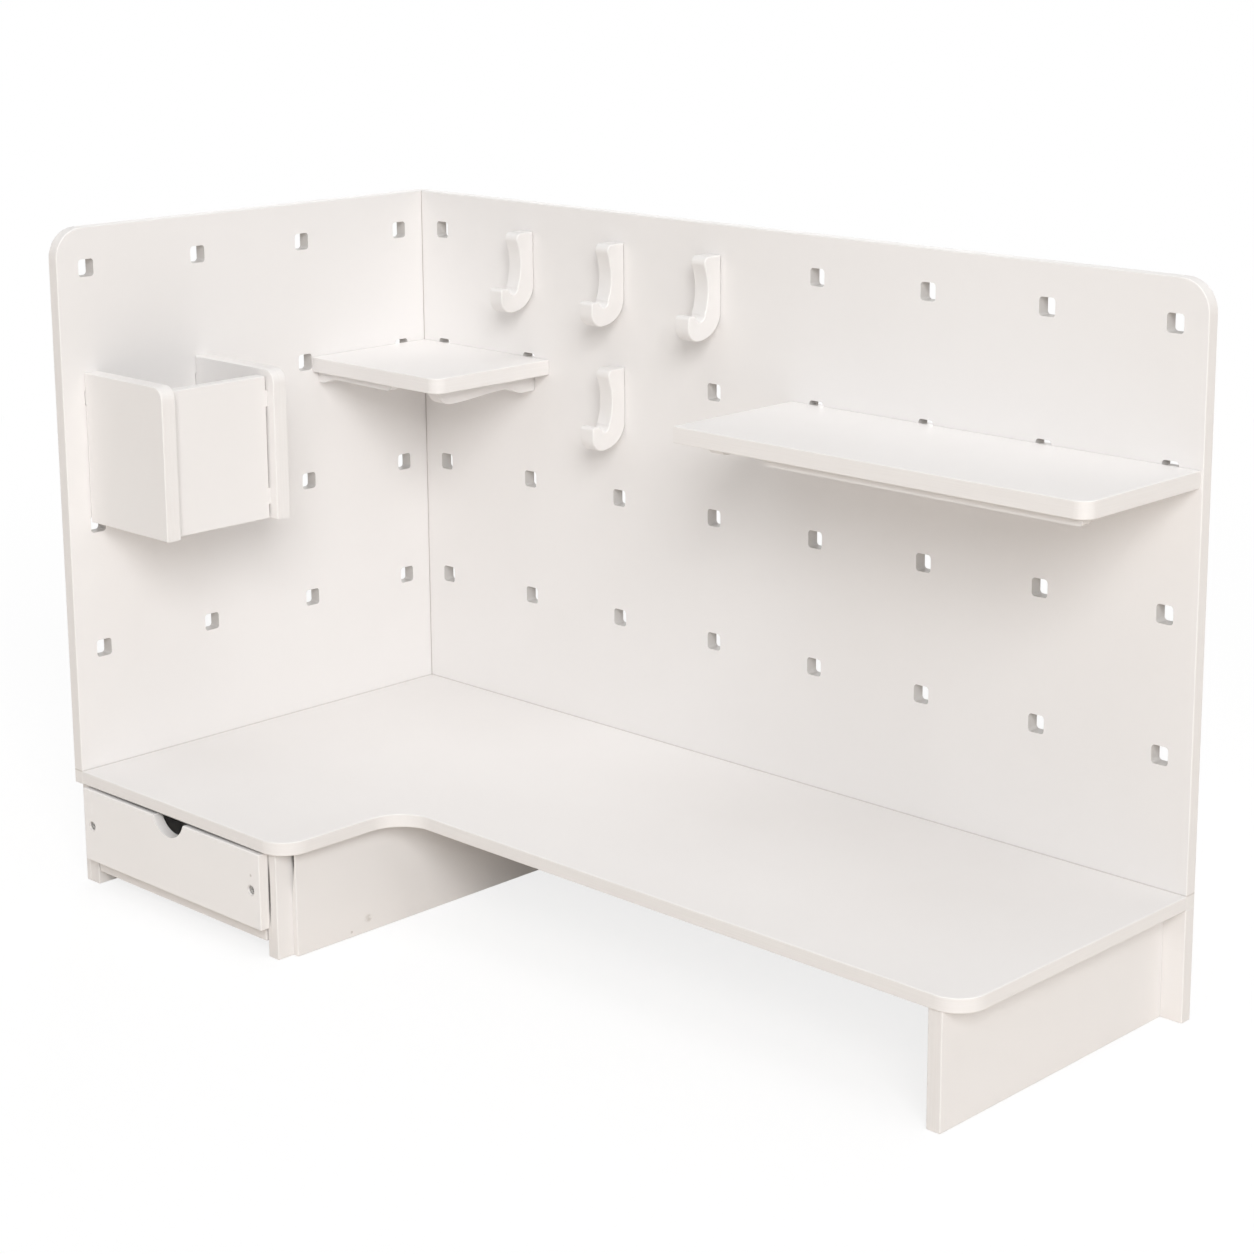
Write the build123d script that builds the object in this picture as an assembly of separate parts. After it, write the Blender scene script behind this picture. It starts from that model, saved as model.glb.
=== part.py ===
"""Corner pegboard shelf: an L-shaped worktop on low panels, two pegboards, a drawer and plug-in accessories.

Millimetres, +Z up.  The long pegboard runs along X at the back and faces -Y.  The short one stands at
the -X end and faces +X.  The origin is on the floor, in the middle of the footprint.
"""
import os

from build123d import *

# Overall sizes
wall_length = 760.0
wall_depth = 360.0
total_height = 500.0
leg_height = 80.0
worktop_thickness = 10.0
pegboard_thickness = 10.0

# Easing and clearances
edge_ease = 0.8
free_corner_radius = 22.0
body_clearance = 0.3
screw_clearance = 0.1
cut_overrun = 3.0

# Peg holes
hole_size = 13.0
hole_corner_radius = 2.5
column_pitch = 100.0
row_pitch = 96.0
column_margin = 25.0
top_row_margin = 30.0
rows = 4
hole_count_slack_share = 0.01

# Worktop
left_arm_width = 240.0
left_arm_reach = 110.0
inside_corner_radius = 28.0

# Lower panels and legs
lower_back_thickness = 10.0
side_panel_thickness = 5.0
leg_thickness = 11.0
right_leg_inset = 17.0
right_leg_recess = 1.5
inner_panel_recess = 13.5
panel_relief_depth = 3.8
panel_relief_length = 60.0
panel_relief_full_height = 12.0
panel_relief_height = 38.0

# Drawer
drawer_opening = 207.0
drawer_front_thickness = 8.0
drawer_front_overlap = 3.0
drawer_front_proud = 2.0
drawer_top_gap = 1.5
drawer_front_gap = 1.0
drawer_side_gap = 2.0
drawer_board_thickness = 10.0
drawer_back_gap = 64.0
drawer_wall_gap = 11.0
finger_notch_width = 36.0
finger_notch_depth = 13.0
runner_height = 10.7
runner_width = 10.0
runner_front_setback = 24.0
runner_back_gap = 30.0
runner_screw_margin = 60.0
runner_screw_height = 5.5

# Plug-in accessories
accessory_thickness = 12.0
accessory_gap = 1.0
peg_rear_gap = 1.0
peg_clearance = 0.5
peg_tip_chamfer = 0.8

# Pen box
pen_box_depth = 95.0
pen_box_height = 113.0
pen_box_rise = 19.0
pen_box_corner_radius = 10.0
pen_box_front_thickness = 10.0
pen_box_front_recess = 8.0
pen_box_front_drop = 5.0
pen_box_front_gap = 1.2
pen_box_floor_thickness = 10.0
pen_box_tab = 12.0
pen_box_tab_depth = 6.0
pen_box_tab_margin = 17.0
pen_box_floor_tab_length = 30.0

# Shelves
shelf_drop = 3.0
shelf_peg_width = 9.0
shelf_corner_radius = 10.0
corner_shelf_length = 148.0
corner_shelf_columns = (0, 1)
corner_bracket_column = 1
long_shelf_left_overhang = 23.0
long_shelf_right_overhang = 23.0
long_shelf_depth = 125.0
long_shelf_first_column = 4
bracket_foot_height = 14.5
bracket_foot_length = 13.0
bracket_neck_height = 9.3
bracket_neck_reach = 31.0
corner_bracket_nose_height = 13.0
long_bracket_nose_height = 8.0
bracket_front_setback = 16.0
rail_height = 5.5
rail_thickness = 8.0
rail_front_setback = 6.0
rail_end_radius = 5.0
rail_foot_height = 9.0
rail_foot_length = 4.0
rail_neck_height = 4.6
rail_neck_reach = 19.0
corner_rail_length = 88.0
long_rail_left_margin = 79.0
long_rail_right_margin = 6.0

# Hooks
hook_places = ((1, 0), (2, 0), (3, 0), (2, 1))
hook_thickness = 14.0
hook_reach = 34.5
hook_height = 61.5
hook_cover = 1.0
hook_gap = 9.5
hook_lip_height = 19.0
hook_heel_height = 19.5
hook_toe_radius = 10.5
hook_tip_width = 8.0
hook_tip_radius = 2.5
hook_waist_depth = 13.5
hook_waist_share = 0.42
hook_shoulder_depth = 20.5
hook_shoulder_radius = 5.0
hook_ease = 1.0

# Screws and dowels
screw_diameter = 4.0
screw_head_diameter = 8.0
screw_head_height = 3.0
screw_point_length = 4.0
screw_recess_width = 1.2
screw_recess_depth = 1.4
screw_recess_span_share = 0.6
long_screw_length = 30.0
front_screw_sink = 2.0
runner_screw_length = 23.0
floor_screw_length = 25.0
dowel_diameter = 6.0
dowel_length = 16.0
dowel_chamfer = 0.6
dowel_worktop_depth = 6.0
back_screw_shares = (0.05, 0.35, 0.65, 0.95)
left_screw_shares = (0.15, 0.75)
corner_screw_shares = (0.2, 0.5, 0.8)
leg_screw_height_share = 0.5
leg_dowel_shares = (0.2, 0.8)
panel_dowel_shares = (0.1, 0.5, 0.9)
floor_screw_shares = (0.2, 0.8)

# Main planes
x_left = -wall_length / 2
x_right = wall_length / 2
x_inner = x_left + pegboard_thickness
y_back = (wall_depth + drawer_front_proud) / 2
y_inner = y_back - pegboard_thickness
y_front = y_back - wall_depth
worktop_bottom = leg_height
worktop_top = leg_height + worktop_thickness
right_arm_depth = wall_depth - pegboard_thickness - left_arm_reach

# Drawer bay, counted from the left pegboard
drawer_front_face = y_front - drawer_front_proud
leg_front = drawer_front_face + drawer_front_thickness + body_clearance
left_leg_left = x_left + side_panel_thickness
bay_left = left_leg_left + leg_thickness
bay_right = bay_left + drawer_opening
right_leg_right = bay_right + leg_thickness
inner_panel_front = leg_front + inner_panel_recess
inner_panel_right = right_leg_right + side_panel_thickness
runner_front = leg_front + runner_front_setback
runner_back = y_inner - runner_back_gap
right_panel_right = x_right - right_leg_inset
right_panel_left = right_panel_right - leg_thickness
right_panel_front = y_inner - right_arm_depth + right_leg_recess


def column_count(wall):
    """How many hole columns a pegboard of that visible width takes."""
    return 1 + int((wall - 2 * column_margin) / column_pitch + hole_count_slack_share)


back_columns = column_count(wall_length - pegboard_thickness)
left_columns = column_count(wall_depth - pegboard_thickness)


def column_x(column):
    """X of a hole column on the back pegboard."""
    return x_inner + column_margin + column * column_pitch


def column_y(column):
    """Y of a hole column on the left pegboard, counted from the inside corner."""
    return y_inner - column_margin - column * column_pitch


def row_z(row):
    """Height of a hole row, counted from the top."""
    return total_height - top_row_margin - row * row_pitch


def slab(x_span, y_span, z_span):
    """A box between two planes on each axis."""
    low = (x_span[0], y_span[0], z_span[0])
    high = (x_span[1], y_span[1], z_span[1])
    size = [b - a for a, b in zip(low, high)]
    return Pos(*low) * Box(*size, align=(Align.MIN, Align.MIN, Align.MIN))


def eased_slab(x_span, y_span, z_span):
    """A board with all its edges eased."""
    board = slab(x_span, y_span, z_span)
    return fillet(board.edges(), edge_ease)


def nearest_vertex(face, x, y):
    """The corner of a flat outline that lies nearest to a place."""
    return face.vertices().sort_by_distance(Vector(x, y))[0]


def rim_edges(board, axis):
    """The outer edges of the two broad faces of a board."""
    faces = board.faces().sort_by(axis)
    return faces[0].outer_wire().edges() + faces[-1].outer_wire().edges()


def screw_solid(x, y, z, direction, length, recess=False):
    """A countersunk screw whose head lies flush at the place given."""
    head = screw_head_diameter / 2
    shank = screw_diameter / 2
    profile = Polyline(
        (0, 0),
        (head, 0),
        (shank, screw_head_height),
        (shank, length - screw_point_length),
        (0, length),
        close=True,
    )
    body = revolve(Plane.XZ * make_face(profile), Axis.Z)
    if recess:
        span = screw_head_diameter * screw_recess_span_share
        for arm in ((span, screw_recess_width), (screw_recess_width, span)):
            body -= extrude(Rectangle(*arm), screw_recess_depth)
    return Plane(origin=(x, y, z), z_dir=direction) * body


def screw_cutter(x, y, z, direction, length):
    """The countersunk hole for such a screw."""
    head = screw_head_diameter / 2 + screw_clearance
    shank = screw_diameter / 2 + screw_clearance / 2
    taper_end = screw_head_height + screw_clearance
    profile = Polyline(
        (0, -cut_overrun),
        (head, -cut_overrun),
        (head, 0),
        (shank, taper_end),
        (shank, length),
        (0, length),
        close=True,
    )
    body = revolve(Plane.XZ * make_face(profile), Axis.Z)
    return Plane(origin=(x, y, z), z_dir=direction) * body


def dowel_solid(x, y, z):
    """An upright dowel whose lower end is at the place given."""
    dowel = extrude(Circle(dowel_diameter / 2), dowel_length)
    return Pos(x, y, z) * chamfer(dowel.edges(), dowel_chamfer)


def dowel_cutter(x, y, z):
    """The hole for an upright dowel, with room at both ends."""
    hole = extrude(Circle(dowel_diameter / 2 + screw_clearance / 2), dowel_length + screw_clearance * 2)
    return Pos(x, y, z - screw_clearance) * hole


def along(span, shares):
    """Places at shares of a span."""
    return [span[0] + (span[1] - span[0]) * share for share in shares]


# Fastener places
back_face_dir = (0, -1, 0)
left_face_dir = (1, 0, 0)
worktop_mid = worktop_bottom + worktop_thickness / 2
back_screws = [
    (x, y_back, worktop_mid, back_face_dir, long_screw_length)
    for x in along((x_inner, x_right), back_screw_shares)
]
left_screws = [
    (x_left, y, worktop_mid, left_face_dir, long_screw_length)
    for y in along((y_front, y_inner), left_screw_shares)
]
corner_screws = [
    (x_left + pegboard_thickness / 2, y_back, z, back_face_dir, long_screw_length)
    for z in along((worktop_top, total_height), corner_screw_shares)
]
leg_middles = (
    left_leg_left + leg_thickness / 2,
    bay_right + leg_thickness / 2,
    right_panel_left + leg_thickness / 2,
)
leg_screws = [
    (x, y_back, leg_height * leg_screw_height_share, back_face_dir, long_screw_length) for x in leg_middles
]
runner_middle = (runner_front + runner_back) / 2
runner_screw_ys = (runner_front + runner_screw_margin, runner_middle, runner_back - runner_screw_margin)
left_runner_screws = [
    (bay_left + runner_width, y, runner_screw_height, (-1, 0, 0), runner_screw_length)
    for y in runner_screw_ys
]
right_runner_screws = [
    (bay_right - runner_width, y, runner_screw_height, (1, 0, 0), runner_screw_length)
    for y in runner_screw_ys
]
dowel_bottom = worktop_bottom + dowel_worktop_depth - dowel_length
leg_dowels = [
    (x, y, dowel_bottom)
    for x, span in (
        (leg_middles[1], (leg_front, y_inner)),
        (leg_middles[2], (right_panel_front, y_inner)),
    )
    for y in along(span, leg_dowel_shares)
]
panel_dowels = [
    (x, y_inner + lower_back_thickness / 2, worktop_bottom - dowel_length / 2)
    for x in along((x_left, x_right), panel_dowel_shares)
]


def with_screw_holes(board, screws):
    """Cuts the countersunk holes of a list of screws."""
    return board - [screw_cutter(*screw) for screw in screws]


def with_dowel_holes(board, dowels):
    """Cuts the holes of a list of dowels."""
    return board - [dowel_cutter(*dowel) for dowel in dowels]


def worktop_board():
    """The L-shaped top, with rounded free corners and a hollow inside corner."""
    left_arm_right = x_inner + left_arm_width
    right_arm_front = y_inner - right_arm_depth
    outline = make_face(
        Polyline(
            (x_inner, y_front),
            (left_arm_right, y_front),
            (left_arm_right, right_arm_front),
            (x_right, right_arm_front),
            (x_right, y_inner),
            (x_inner, y_inner),
            close=True,
        )
    )
    outline = fillet(nearest_vertex(outline, left_arm_right, y_front), free_corner_radius)
    outline = fillet(nearest_vertex(outline, x_right, right_arm_front), free_corner_radius)
    outline = fillet(nearest_vertex(outline, left_arm_right, right_arm_front), inside_corner_radius)
    board = Pos(0, 0, worktop_bottom) * extrude(outline, worktop_thickness)
    board = fillet(rim_edges(board, Axis.Z), edge_ease)
    board = with_screw_holes(board, back_screws + left_screws)
    return with_dowel_holes(board, leg_dowels)


def peg_hole(x, z):
    """The outline of one square hole on an upright plane."""
    return Pos(x, z) * RectangleRounded(hole_size, hole_size, hole_corner_radius)


def back_pegboard():
    """The long pegboard, which covers the worktop's back edge."""
    height = total_height - worktop_bottom
    middle = worktop_bottom + height / 2
    outline = Pos(0, middle) * Rectangle(wall_length, height)
    outline = fillet(nearest_vertex(outline, x_right, total_height), free_corner_radius)
    face = Plane(origin=(0, y_back, 0), x_dir=(1, 0, 0), z_dir=(0, -1, 0))
    board = extrude(face * outline, pegboard_thickness)
    board = fillet(rim_edges(board, Axis.Y), edge_ease)
    holes = [
        extrude(face * peg_hole(column_x(c), row_z(r)), pegboard_thickness + cut_overrun)
        for c in range(back_columns)
        for r in range(rows)
    ]
    board = board - holes
    board = with_screw_holes(board, back_screws + corner_screws)
    return with_dowel_holes(board, panel_dowels)


def left_pegboard():
    """The short pegboard, which meets the long one in the corner."""
    height = total_height - worktop_bottom
    middle = worktop_bottom + height / 2
    outline = Pos((y_front + y_inner) / 2, middle) * Rectangle(y_inner - y_front, height)
    outline = fillet(nearest_vertex(outline, y_front, total_height), free_corner_radius)
    face = Plane(origin=(x_left, 0, 0), x_dir=(0, 1, 0), z_dir=(1, 0, 0))
    board = extrude(face * outline, pegboard_thickness)
    board = fillet(rim_edges(board, Axis.X), edge_ease)
    holes = [
        extrude(face * peg_hole(column_y(c), row_z(r)), pegboard_thickness + cut_overrun)
        for c in range(left_columns)
        for r in range(rows)
    ]
    board = board - holes
    return with_screw_holes(board, left_screws + corner_screws)


def back_lower_panel():
    """The low board under the long pegboard."""
    board = eased_slab((x_left, x_right), (y_inner, y_inner + lower_back_thickness), (0, leg_height))
    board = with_screw_holes(board, leg_screws)
    return with_dowel_holes(board, panel_dowels)


def left_lower_panel():
    """The thin low board under the short pegboard."""
    board = eased_slab((x_left, left_leg_left), (leg_front, y_inner), (0, leg_height))
    return with_screw_holes(board, left_runner_screws)


def inner_leg_panel():
    """The thin board that closes the drawer bay, with a wedge of air beside its upper front corner."""
    board = eased_slab((right_leg_right, inner_panel_right), (inner_panel_front, y_inner), (0, leg_height))
    air_right = right_leg_right + panel_relief_depth
    outline = make_face(
        Polyline(
            (right_leg_right, leg_height),
            (right_leg_right, leg_height - panel_relief_height),
            (air_right, leg_height - panel_relief_full_height),
            (air_right, leg_height),
            close=True,
        )
    )
    air_back = inner_panel_front + panel_relief_length
    face = Plane(origin=(0, air_back, 0), x_dir=(1, 0, 0), z_dir=(0, -1, 0))
    board -= extrude(face * outline, panel_relief_length + cut_overrun)
    return with_screw_holes(board, right_runner_screws)


def drawer_left_leg():
    """The leg board on the wall side of the drawer."""
    board = eased_slab((left_leg_left, bay_left), (leg_front, y_inner), (0, leg_height))
    return with_screw_holes(board, left_runner_screws + leg_screws)


def drawer_right_leg():
    """The leg board on the open side of the drawer."""
    board = eased_slab((bay_right, right_leg_right), (leg_front, y_inner), (0, leg_height))
    board = with_screw_holes(board, right_runner_screws + leg_screws)
    return with_dowel_holes(board, leg_dowels)


def right_leg_panel():
    """The leg board that carries the worktop's free end."""
    board = eased_slab((right_panel_left, right_panel_right), (right_panel_front, y_inner), (0, leg_height))
    board = with_screw_holes(board, leg_screws)
    return with_dowel_holes(board, leg_dowels)


def drawer_left_runner():
    """The strip that the drawer slides on, on the wall side."""
    strip = eased_slab((bay_left, bay_left + runner_width), (runner_front, runner_back), (0, runner_height))
    return with_screw_holes(strip, left_runner_screws)


def drawer_right_runner():
    """The strip that the drawer slides on, on the open side."""
    strip = eased_slab((bay_right - runner_width, bay_right), (runner_front, runner_back), (0, runner_height))
    return with_screw_holes(strip, right_runner_screws)


# Drawer places
drawer_left = bay_left + drawer_side_gap
drawer_right = bay_right - drawer_side_gap
drawer_front_back_face = drawer_front_face + drawer_front_thickness
drawer_back_end = y_inner - drawer_back_gap
drawer_floor_bottom = runner_height + body_clearance
drawer_floor_top = drawer_floor_bottom + drawer_board_thickness
drawer_front_top = worktop_bottom - drawer_top_gap
drawer_front_bottom = drawer_floor_top + drawer_front_gap
drawer_wall_top = worktop_bottom - drawer_wall_gap
drawer_front_middle = (drawer_front_bottom + drawer_front_top) / 2
drawer_middle = (drawer_left + drawer_right) / 2
drawer_side_middles = (drawer_left + drawer_board_thickness / 2, drawer_right - drawer_board_thickness / 2)
front_screws = [
    (x, drawer_front_face + front_screw_sink, drawer_front_middle, (0, 1, 0), long_screw_length)
    for x in drawer_side_middles
]
floor_screws = [
    (x, y, drawer_floor_bottom, (0, 0, 1), floor_screw_length)
    for x in drawer_side_middles
    for y in along((drawer_front_back_face, drawer_back_end), floor_screw_shares)
]


def drawer_front():
    """The overlapping front, with a round finger notch in its top edge."""
    board = eased_slab(
        (bay_left - drawer_front_overlap, bay_right + drawer_front_overlap),
        (drawer_front_face, drawer_front_back_face),
        (drawer_front_bottom, drawer_front_top),
    )
    half_chord = finger_notch_width / 2
    radius = (half_chord**2 + finger_notch_depth**2) / (2 * finger_notch_depth)
    notch_centre = (drawer_middle, drawer_front_top - finger_notch_depth + radius)
    face = Plane(origin=(0, drawer_front_back_face + cut_overrun, 0), x_dir=(1, 0, 0), z_dir=(0, -1, 0))
    notch = extrude(face * Pos(*notch_centre) * Circle(radius), drawer_front_thickness + cut_overrun * 2)
    return with_screw_holes(board - notch, front_screws)


def drawer_floor():
    """The board that rides on the runners."""
    board = eased_slab(
        (drawer_left, drawer_right),
        (drawer_front_back_face, drawer_back_end),
        (drawer_floor_bottom, drawer_floor_top),
    )
    return with_screw_holes(board, floor_screws)


def drawer_side(left, right):
    """One side wall of the drawer."""
    board = eased_slab(
        (left, right), (drawer_front_back_face, drawer_back_end), (drawer_floor_top, drawer_wall_top)
    )
    return with_screw_holes(board, front_screws + floor_screws)


def drawer_back():
    """The back wall, between the side walls."""
    return eased_slab(
        (drawer_left + drawer_board_thickness, drawer_right - drawer_board_thickness),
        (drawer_back_end - drawer_board_thickness, drawer_back_end),
        (drawer_floor_top, drawer_wall_top),
    )


# Pen box places
pen_box_wall = x_inner + body_clearance
pen_box_front_edge = x_inner + pen_box_depth
pen_box_top = row_z(1) + pen_box_rise
pen_box_bottom = pen_box_top - pen_box_height
pen_box_columns = (left_columns - 1, left_columns - 2)
pen_box_front_face = pen_box_front_edge - pen_box_front_recess
pen_box_front_back = pen_box_front_face - pen_box_front_thickness
pen_box_front_top = pen_box_top - pen_box_front_drop
pen_box_inner = (
    column_y(pen_box_columns[0]) + accessory_thickness / 2,
    column_y(pen_box_columns[1]) - accessory_thickness / 2,
)
pen_box_tab_zs = (
    pen_box_bottom + pen_box_tab_margin,
    pen_box_front_top - pen_box_tab_margin,
)
pen_box_floor_middle = (pen_box_wall + pen_box_front_back) / 2
peg_size = hole_size - 2 * peg_clearance
peg_end_inset = pegboard_thickness - peg_rear_gap


def square_peg(face, length):
    """A peg that fits a square hole, with a chamfered tip at the far end."""
    outline = RectangleRounded(peg_size, peg_size, hole_corner_radius - peg_clearance)
    peg = extrude(outline, length)
    return face * chamfer(peg.faces().sort_by(Axis.Z)[-1].edges(), peg_tip_chamfer)


def pen_box_tabs(widening):
    """The tabs of the front and floor, or their slots when widened."""
    reach = pen_box_tab_depth + widening
    y_span = (pen_box_inner[0] - reach, pen_box_inner[1] + reach)
    x_span = (pen_box_front_back - widening, pen_box_front_face + widening)
    half_tab = pen_box_tab / 2 + widening
    tabs = [
        slab(x_span, y_span, (z - half_tab, z + half_tab))
        for z in pen_box_tab_zs
    ]
    half_length = pen_box_floor_tab_length / 2 + widening
    floor_tab = slab(
        (pen_box_floor_middle - half_length, pen_box_floor_middle + half_length),
        y_span,
        (pen_box_bottom - widening, pen_box_bottom + pen_box_floor_thickness + widening),
    )
    return tabs, floor_tab


def pen_box_side(column):
    """A side board whose peg plugs into the left pegboard."""
    y = column_y(column)
    outline = make_face(
        Polyline(
            (pen_box_wall, pen_box_bottom),
            (pen_box_front_edge, pen_box_bottom),
            (pen_box_front_edge, pen_box_top),
            (pen_box_wall, pen_box_top),
            close=True,
        )
    )
    outline = fillet(nearest_vertex(outline, pen_box_front_edge, pen_box_top), pen_box_corner_radius)
    face = Plane(origin=(0, y + accessory_thickness / 2, 0), x_dir=(1, 0, 0), z_dir=(0, -1, 0))
    board = extrude(face * outline, accessory_thickness)
    board = fillet(rim_edges(board, Axis.Y), edge_ease)
    seat = pen_box_wall + accessory_thickness / 2
    face = Plane(origin=(seat, y, row_z(1)), x_dir=(0, -1, 0), z_dir=(-1, 0, 0))
    peg = square_peg(face, seat - x_inner + peg_end_inset)
    tabs, floor_tab = pen_box_tabs(screw_clearance)
    return (board + peg) - [*tabs, floor_tab]


def pen_box_front():
    """The front board on blind tabs, with a narrow gap to the far side."""
    board = eased_slab(
        (pen_box_front_back, pen_box_front_face),
        (pen_box_inner[0], pen_box_inner[1] - pen_box_front_gap),
        (pen_box_bottom, pen_box_front_top),
    )
    tabs, _ = pen_box_tabs(0)
    return board + tabs


def pen_box_floor():
    """The floor board, held by a tab on each side."""
    board = slab(
        (pen_box_wall, pen_box_front_back),
        pen_box_inner,
        (pen_box_bottom, pen_box_bottom + pen_box_floor_thickness),
    )
    _, floor_tab = pen_box_tabs(0)
    return board + floor_tab


# Shelf places
shelf_back = y_inner - body_clearance
hole_top = row_z(1) + hole_size / 2
shelf_top = hole_top - shelf_drop
shelf_bottom = shelf_top - accessory_thickness
peg_bottom = row_z(1) - hole_size / 2 + peg_clearance


def shelf_board(left, right, depth, columns):
    """A shelf board with a rounded free corner and pegs along its back edge."""
    front = y_inner - depth
    outline = make_face(
        Polyline((left, front), (right, front), (right, shelf_back), (left, shelf_back), close=True)
    )
    outline = fillet(nearest_vertex(outline, right, front), shelf_corner_radius)
    board = Pos(0, 0, shelf_bottom) * extrude(outline, accessory_thickness)
    board = fillet(rim_edges(board, Axis.Z), edge_ease)
    half_peg = shelf_peg_width / 2
    seat = shelf_back - accessory_thickness / 2
    for column in columns:
        x = column_x(column)
        peg = slab(
            (x - half_peg, x + half_peg),
            (seat, y_inner + peg_end_inset),
            (peg_bottom, shelf_top - edge_ease),
        )
        board += chamfer(peg.faces().sort_by(Axis.Y)[-1].edges(), peg_tip_chamfer)
    return board


def support_outline(length, foot, neck, nose):
    """A support's side view, out from the wall and down from the shelf: foot, curved neck and round nose."""
    foot_end, foot_low = foot[0], -foot[1]
    neck_end, neck_low = neck[0], -neck[1]
    nose_start = length - nose
    top = Line((length, 0), (0, 0))
    wall_edge = Line((0, 0), (0, foot_low))
    foot_edge = Line((0, foot_low), (foot_end, foot_low))
    swell = Spline((foot_end, foot_low), (neck_end, neck_low), tangents=((1, 0), (1, 0)))
    belly = Spline((neck_end, neck_low), (nose_start, -nose), tangents=((1, 0), (1, 0)))
    tip = RadiusArc((nose_start, -nose), (length, 0), -nose)
    return make_face([top, wall_edge, foot_edge, swell, belly, tip])


def shelf_bracket(column, depth, nose):
    """A plate under a shelf, out from the back pegboard."""
    outline = support_outline(
        shelf_back - y_inner + depth - bracket_front_setback,
        (bracket_foot_length, bracket_foot_height),
        (bracket_neck_reach, bracket_neck_height),
        nose,
    )
    origin = (column_x(column) + accessory_thickness / 2, shelf_back, shelf_bottom)
    face = Plane(origin=origin, x_dir=(0, -1, 0), z_dir=(-1, 0, 0))
    return extrude(face * outline, accessory_thickness)


def corner_rail():
    """A strip under the corner shelf's front edge, with its foot against the left pegboard."""
    outline = support_outline(
        corner_rail_length,
        (rail_foot_length, rail_foot_height),
        (rail_neck_reach, rail_neck_height),
        rail_height,
    )
    rail_back = y_inner - corner_shelf_depth + rail_front_setback + rail_thickness
    origin = (corner_shelf_left, rail_back, shelf_bottom)
    face = Plane(origin=origin, x_dir=(1, 0, 0), z_dir=(0, -1, 0))
    return extrude(face * outline, rail_thickness)


def long_rail():
    """A strip under the long shelf's front edge, with round lower corners."""
    left = long_shelf_left + long_rail_left_margin
    right = long_shelf_right - long_rail_right_margin
    low = shelf_bottom - rail_height
    outline = make_face(
        Polyline((left, low), (right, low), (right, shelf_bottom), (left, shelf_bottom), close=True)
    )
    outline = fillet(nearest_vertex(outline, left, low), rail_end_radius)
    outline = fillet(nearest_vertex(outline, right, low), rail_end_radius)
    rail_back = y_inner - long_shelf_depth + rail_front_setback + rail_thickness
    face = Plane(origin=(0, rail_back, 0), x_dir=(1, 0, 0), z_dir=(0, -1, 0))
    return extrude(face * outline, rail_thickness)


corner_shelf_left = x_inner + body_clearance
corner_shelf_depth = column_margin + column_pitch - accessory_thickness / 2 - accessory_gap
long_shelf_columns = range(long_shelf_first_column, back_columns)
corner_shelf_right = x_inner + corner_shelf_length
long_shelf_left = column_x(long_shelf_columns[0]) - long_shelf_left_overhang
long_shelf_right = column_x(long_shelf_columns[-1]) + long_shelf_right_overhang


heel_start = 270
toe_start = 180


def hook(column, row):
    """A J-shaped plate with a square peg that plugs into the back pegboard."""
    back = y_inner - body_clearance
    top = row_z(row) + hole_size / 2 + hook_cover
    low = top - hook_height
    heel = low + hook_heel_height
    toe = low + hook_toe_radius
    lip = low + hook_lip_height
    tip = back - hook_reach
    tip_inner = tip + hook_tip_width
    gap_right = tip_inner + hook_gap
    sole = tip + hook_toe_radius
    waist = (back - hook_waist_depth, lip + (top - lip) * hook_waist_share)
    shoulder = (back - hook_shoulder_depth, top)
    back_edge = Line((back, top), (back, heel))
    heel_curve = EllipticalCenterArc((sole, heel), back - sole, hook_heel_height, heel_start)
    toe_curve = EllipticalCenterArc((sole, toe), hook_toe_radius, hook_toe_radius, toe_start)
    tip_side = Line((tip, toe), (tip, lip))
    tip_top = Line((tip, lip), (tip_inner, lip))
    throat_low = (tip_inner + hook_gap / 2, lip - hook_gap / 2)
    throat = ThreePointArc((tip_inner, lip), throat_low, (gap_right, lip))
    shank = ThreePointArc((gap_right, lip), waist, shoulder)
    top_edge = Line(shoulder, (back, top))
    outline = make_face([back_edge, heel_curve, toe_curve, tip_side, tip_top, throat, shank, top_edge])
    outline = fillet(nearest_vertex(outline, *shoulder), hook_shoulder_radius)
    outline = fillet(nearest_vertex(outline, tip, lip), hook_tip_radius)
    outline = fillet(nearest_vertex(outline, tip_inner, lip), hook_tip_radius)
    x = column_x(column)
    face = Plane(origin=(x - hook_thickness / 2, 0, 0), x_dir=(0, 1, 0), z_dir=(1, 0, 0))
    plate = extrude(face * outline, hook_thickness)
    plate = fillet(rim_edges(plate, Axis.X), hook_ease)
    seat = back - hook_waist_depth / 2
    face = Plane(origin=(x, seat, row_z(row)), x_dir=(1, 0, 0), z_dir=(0, 1, 0))
    return plate + square_peg(face, y_inner + peg_end_inset - seat)


def group(solids):
    """Separate like solids that share one node."""
    return Compound(children=list(solids))


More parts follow.
